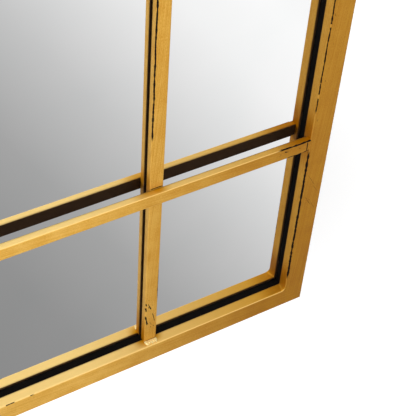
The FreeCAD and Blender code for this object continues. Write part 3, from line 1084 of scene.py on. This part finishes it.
@dataclass
class PanHeadScrews:
    """Pan head screws with a cross recess and a cut thread.

    Args:
        node: CAD node of the screws.
        length: From the seat of the head to the point.
        seat: Depth of the head's seat in Y.
    """

    node: str
    length: float
    seat: float
    spacing: float = 6.5
    first_turn: float = 0.7
    next_turn: float = 1.9
    head_radius: float = 2.8
    head_height: float = 2.0
    rim_height: float = 0.8
    dome_steps: int = 8
    flat_top: float = 0.4
    shank_radius: float = 1.6
    root_radius: float = 1.2
    pitch: float = 1.3
    pitch_steps: int = 8
    thread_power: float = 1.5
    point: float = 1.5
    tip: float = 0.02
    recess_reach: float = 1.55
    recess_foot: float = 0.55
    recess_breadth: float = 0.62
    recess_depth: float = 1.1
    recess_over: float = 0.3
    segments: int = 32
    sharp_angle: float = 35.0

    def build(self, material: Material) -> None:
        """Builds every screw of the node as one piece.

        Args:
            material: Finish of the screws.
        """
        head = self.cut_head()
        shank = self.shank()
        mesh = bmesh.new()
        for number, (x, z) in enumerate(self.centres()):
            spin = Matrix.Rotation(self.first_turn + self.next_turn * number, 4, "Y")
            place = Matrix.Translation(Vector((x, self.seat, z)) * MM) @ spin
            for part in (head, shank):
                before = len(mesh.verts)
                mesh.from_mesh(part)
                mesh.verts.ensure_lookup_table()
                bmesh.ops.transform(mesh, matrix=place, verts=mesh.verts[before:])
        new_piece(f"{self.node}_detailed", mesh, material, "zinc_screw", self.node,
                  sharp_angle=self.sharp_angle)

    def centres(self) -> list[Pair]:
        """Finds the middle of each screw of the CAD node, in X and Z."""
        groups: list[list[Vector]] = []
        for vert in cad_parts[self.node].data.vertices:
            spot = (vert.co / MM).xz
            near = [group for group in groups if (group[0] - spot).length < self.spacing]
            if near:
                near[0].append(spot)
            else:
                groups.append([spot])
        middles = []
        for group in groups:
            sides = zip(*group)
            middles.append(tuple((min(side) + max(side)) / 2 for side in sides))
        return middles

    def lathe(self, mesh: Mesh, profile: Sequence[Pair],
              radius_at: Callable[[float, float, float], float]) -> None:
        """Turns a profile about Y.

        Args:
            mesh: Mesh that takes it.
            profile: Radius and Y of each ring, from one end to the other.
            radius_at: Radius for a profile's radius, its Y and an angle.
        """
        rings = []
        for radius, y in profile:
            ring = []
            for segment in range(self.segments):
                angle = 2 * math.pi * segment / self.segments
                reach = radius_at(radius, y, angle)
                spot = Vector((reach * math.cos(angle), y, reach * math.sin(angle)))
                ring.append(mesh.verts.new(spot * MM))
            rings.append(ring)
        skin(mesh, rings)
        mesh.faces.new(rings[0])
        mesh.faces.new(list(reversed(rings[-1])))

    def cut_head(self) -> bpy.types.Mesh:
        """Domed head with its cross recess cut in."""
        crown = self.head_height - self.rim_height
        dome = (self.head_radius ** 2 + crown ** 2) / (2 * crown)
        profile = [(self.head_radius, 0.0), (self.head_radius, self.rim_height)]
        for step in range(1, self.dome_steps + 1):
            radius = self.head_radius * (1 - step / (self.dome_steps + self.flat_top))
            profile.append((radius, self.head_height - dome + math.sqrt(dome ** 2 - radius ** 2)))
        body = bmesh.new()
        self.lathe(body, profile, lambda radius, y, angle: radius)
        bmesh.ops.recalc_face_normals(body, faces=body.faces)
        cutter = bmesh.new()
        top = self.head_height + self.recess_over
        bottom = self.head_height - self.recess_depth
        for turn in (0.0, QUARTER_TURN):
            wing = bmesh.ops.create_cube(cutter, size=1.0)["verts"]
            for vert in wing:
                wide, level = (1.0, top) if vert.co.y > 0 else (self.recess_foot, bottom)
                vert.co = Vector((2 * vert.co.x * self.recess_reach * wide, level,
                                  vert.co.z * self.recess_breadth)) * MM
            bmesh.ops.rotate(cutter, verts=wing, matrix=Matrix.Rotation(turn, 3, "Y"))
        return self.subtract(body, cutter)

    def shank(self) -> bpy.types.Mesh:
        """Threaded shank and its point."""
        steps = round(self.length / self.pitch * self.pitch_steps)
        profile = []
        for step in range(steps + 1):
            y = -self.length * step / steps
            taper = min(1.0, (self.length + y) / self.point)
            profile.append((max(self.tip, taper), y))
        depth = self.shank_radius - self.root_radius

        def thread(share: float, y: float, angle: float) -> float:
            """Radius on the thread's ridge and groove."""
            turn = (y / self.pitch + angle / (2 * math.pi)) % 1.0
            return share * (self.root_radius + depth * (1 - abs(2 * turn - 1)) ** self.thread_power)

        mesh = bmesh.new()
        self.lathe(mesh, profile, thread)
        data = bpy.data.meshes.new("screw_shank")
        mesh.to_mesh(data)
        mesh.free()
        return data

    def subtract(self, body: Mesh, cutter: Mesh) -> bpy.types.Mesh:
        """Cuts one mesh out of another.

        Args:
            body: Mesh that is cut, which is freed.
            cutter: Mesh that cuts, which is freed.

        Returns:
            The mesh that is left.
        """
        objects = []
        for name, mesh in (("screw_head", body), ("screw_recess", cutter)):
            data = bpy.data.meshes.new(name)
            mesh.to_mesh(data)
            mesh.free()
            made = bpy.data.objects.new(name, data)
            bpy.context.scene.collection.objects.link(made)
            objects.append(made)
        cut = objects[0].modifiers.new("recess", "BOOLEAN")
        cut.object = objects[1]
        cut.use_self = True
        graph = bpy.context.evaluated_depsgraph_get()
        result = bpy.data.meshes.new_from_object(objects[0].evaluated_get(graph))
        for made in objects:
            bpy.data.objects.remove(made)
        return result


@dataclass
class Backing:
    """The mirror sheet and all that holds, backs and hangs it."""

    glass: SilveredGlass = SilveredGlass()
    clip_screws: PanHeadScrews = field(default_factory=lambda: PanHeadScrews("clip_screws", 7.0, -16.3))
    hanger_screws: PanHeadScrews = field(default_factory=lambda: PanHeadScrews("hanger_screws", 6.3, -3.9))

    def build(self) -> None:
        """Dresses the glass, board, tape, clips, bumpers and hangers, and builds the screws."""
        dress("mirror_sheet", self.glass.material())
        finishes = {"backing_board": FIBREBOARD, "_tape": FOAM_AND_GAP_SHADE, "_clip_": ZINC, "wall_bumpers": RUBBER,
                    "_hanger_": NICKEL}
        for part, finish in finishes.items():
            material = finish.material()
            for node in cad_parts:
                if part in node:
                    dress(node, material)
        zinc = ZINC.material()
        self.clip_screws.build(zinc)
        self.hanger_screws.build(zinc)


@dataclass
class Studio:
    """Floor, light and camera."""

    eye: Vector = field(default_factory=lambda: Vector((-147.49, -527.42, 361.65)))
    target: Vector = field(default_factory=lambda: Vector((189.27, -27.5, -235.06)))
    roll: float = 5.2335
    lens: float = 95.15
    sensor: float = 36.0
    nearest: float = 10.0
    floor_level: float = -700.0
    floor_reach: float = 12000.0
    floor_colour: str = "#F6F6F6"
    floor_roughness: float = 0.9
    floor_lift: float = 0.3
    white_limits: Pair = (500.0, 1900.0)
    fill_level: float = 0.20
    room_lean: float = 1.2
    room_limits: Pair = (-1.6, 1.4)

    def build(self) -> None:
        """Builds the studio."""
        bpy.context.scene.view_settings.view_transform = "Standard"
        self.camera()
        self.floor()
        self.world()
        self.lamp("key_light", (-750, -1000, 550), (0, 0, 0), 700, 30.0, False)
        self.lamp("top_light", (-200, -300, 950), (60, -20, -300), 320, 2.2, True)
        self.lamp("back_light", (500, 1400, 500), (0, 0, 0), 900, 16.0, False)

    def camera(self) -> None:
        """Places the camera where the photograph was taken from."""
        data = bpy.data.cameras.new("photo_camera")
        data.lens = self.lens
        data.sensor_width = self.sensor
        data.clip_start = self.nearest * MM
        camera = bpy.data.objects.new("photo_camera", data)
        aim = (self.target - self.eye).to_track_quat("-Z", "Y").to_matrix().to_4x4()
        tilt = Matrix.Rotation(math.radians(self.roll), 4, "Z")
        camera.matrix_world = Matrix.Translation(self.eye * MM) @ aim @ tilt
        bpy.context.scene.collection.objects.link(camera)
        bpy.context.scene.camera = camera

    def floor(self) -> None:
        """Lays a plain pale floor below the mirror, which fades to white around it."""
        mesh = bmesh.new()
        bmesh.ops.create_grid(mesh, x_segments=1, y_segments=1, size=self.floor_reach * MM)
        data = bpy.data.meshes.new("floor")
        mesh.to_mesh(data)
        mesh.free()
        material, tree = start_material("pale_floor")
        seen = add(tree, "LightPath").outputs["Is Camera Ray"]
        away = add(tree, "VectorMath", {0: millimetres(tree)}, operation="LENGTH").outputs["Value"]
        lift = (self.floor_lift, 1.0)
        white = add(tree, "MapRange", {0: away, **span(self.white_limits, lift)}, **SOFT)
        shade(tree, {
            "Base Color": linear(self.floor_colour),
            "Roughness": self.floor_roughness,
            "Specular IOR Level": 0.0,
            "Emission Color": linear(self.floor_colour),
            "Emission Strength": overlap(tree, seen, white),
        })
        data.materials.append(material)
        floor = bpy.data.objects.new("floor", data)
        floor.location.z = self.floor_level * MM
        floor.visible_glossy = False
        bpy.context.scene.collection.objects.link(floor)

    def world(self) -> None:
        """White to the eye, a plain fill for the light, and a graded room in the mirror."""
        world = bpy.data.worlds.new("studio")
        bpy.context.scene.world = world
        world.use_nodes = True
        tree = world.node_tree
        tree.nodes.clear()
        way = add(tree, "SeparateXYZ", {0: add(tree, "TexCoord").outputs["Generated"]}).outputs
        slope = add(tree, "Math", {0: way["X"], 1: self.room_lean, 2: way["Z"]}, operation="MULTIPLY_ADD")
        share = add(tree, "MapRange", {0: slope, **span(self.room_limits)})
        room = add(tree, "ValToRGB", {0: share}, (
            (0.0, "#8A8A8A"), (1.0, "#E6E6E6"), (0.14, "#8C8C8C"), (0.24, "#BCBCBC"), (0.325, "#8C8C8C"),
            (0.373, "#949494"), (0.414, "#A7A7A7"), (0.455, "#C7C7C7"), (0.496, "#E9E9E9"),
            (0.517, "#F7F7F7"), (0.545, "#FFFFFF"), (0.60, "#F6F6F6"), (0.66, "#D0D0D0"), (0.74, "#E6E6E6"),
            (0.82, "#F6F6F6")))
        path = add(tree, "LightPath").outputs
        mirrored = add(tree, "Math", {0: path["Is Glossy Ray"], 1: path["Is Transmission Ray"]},
                       operation="MAXIMUM")
        plain = (self.fill_level, self.fill_level, self.fill_level, 1.0)
        lit = add(tree, "Mix", {0: mirrored, 6: plain, 7: room}, **COLOURS)
        shown = add(tree, "Mix", {0: path["Is Camera Ray"], 6: lit.outputs[2], 7: (1.0, 1.0, 1.0, 1.0)},
                    **COLOURS)
        light = add(tree, "Background", {"Color": shown.outputs[2], "Strength": 1.0})
        add(tree, "OutputWorld", {"Surface": light})

    def lamp(self, name: str, place: tuple[float, float, float], aim: tuple[float, float, float],
             size: float, power: float, mirrored: bool) -> None:
        """Hangs a soft square lamp.

        Args:
            name: Name of the lamp.
            place: Its place.
            aim: Where it points.
            size: Its breadth and height.
            power: Its power in watts.
            mirrored: Whether it shows in gloss.
        """
        data = bpy.data.lights.new(name, "AREA")
        data.shape = "SQUARE"
        data.size = size * MM
        data.energy = power
        lamp = bpy.data.objects.new(name, data)
        lamp.location = Vector(place) * MM
        lamp.rotation_euler = (Vector(aim) - Vector(place)).to_track_quat("-Z", "Y").to_euler()
        lamp.visible_camera = False
        lamp.visible_glossy = mirrored
        bpy.context.scene.collection.objects.link(lamp)


def main() -> None:
    """Builds and dresses the mirror, then the studio."""
    logging.basicConfig(level=logging.INFO, format="%(name)s: %(message)s")
    window = WindowFrame()
    window.dress_all()
    CornerWelds().build(window.junction_shades())
    FootBeads().build()
    Backing().build()
    Studio().build()


if __name__ == "__main__":
    main()
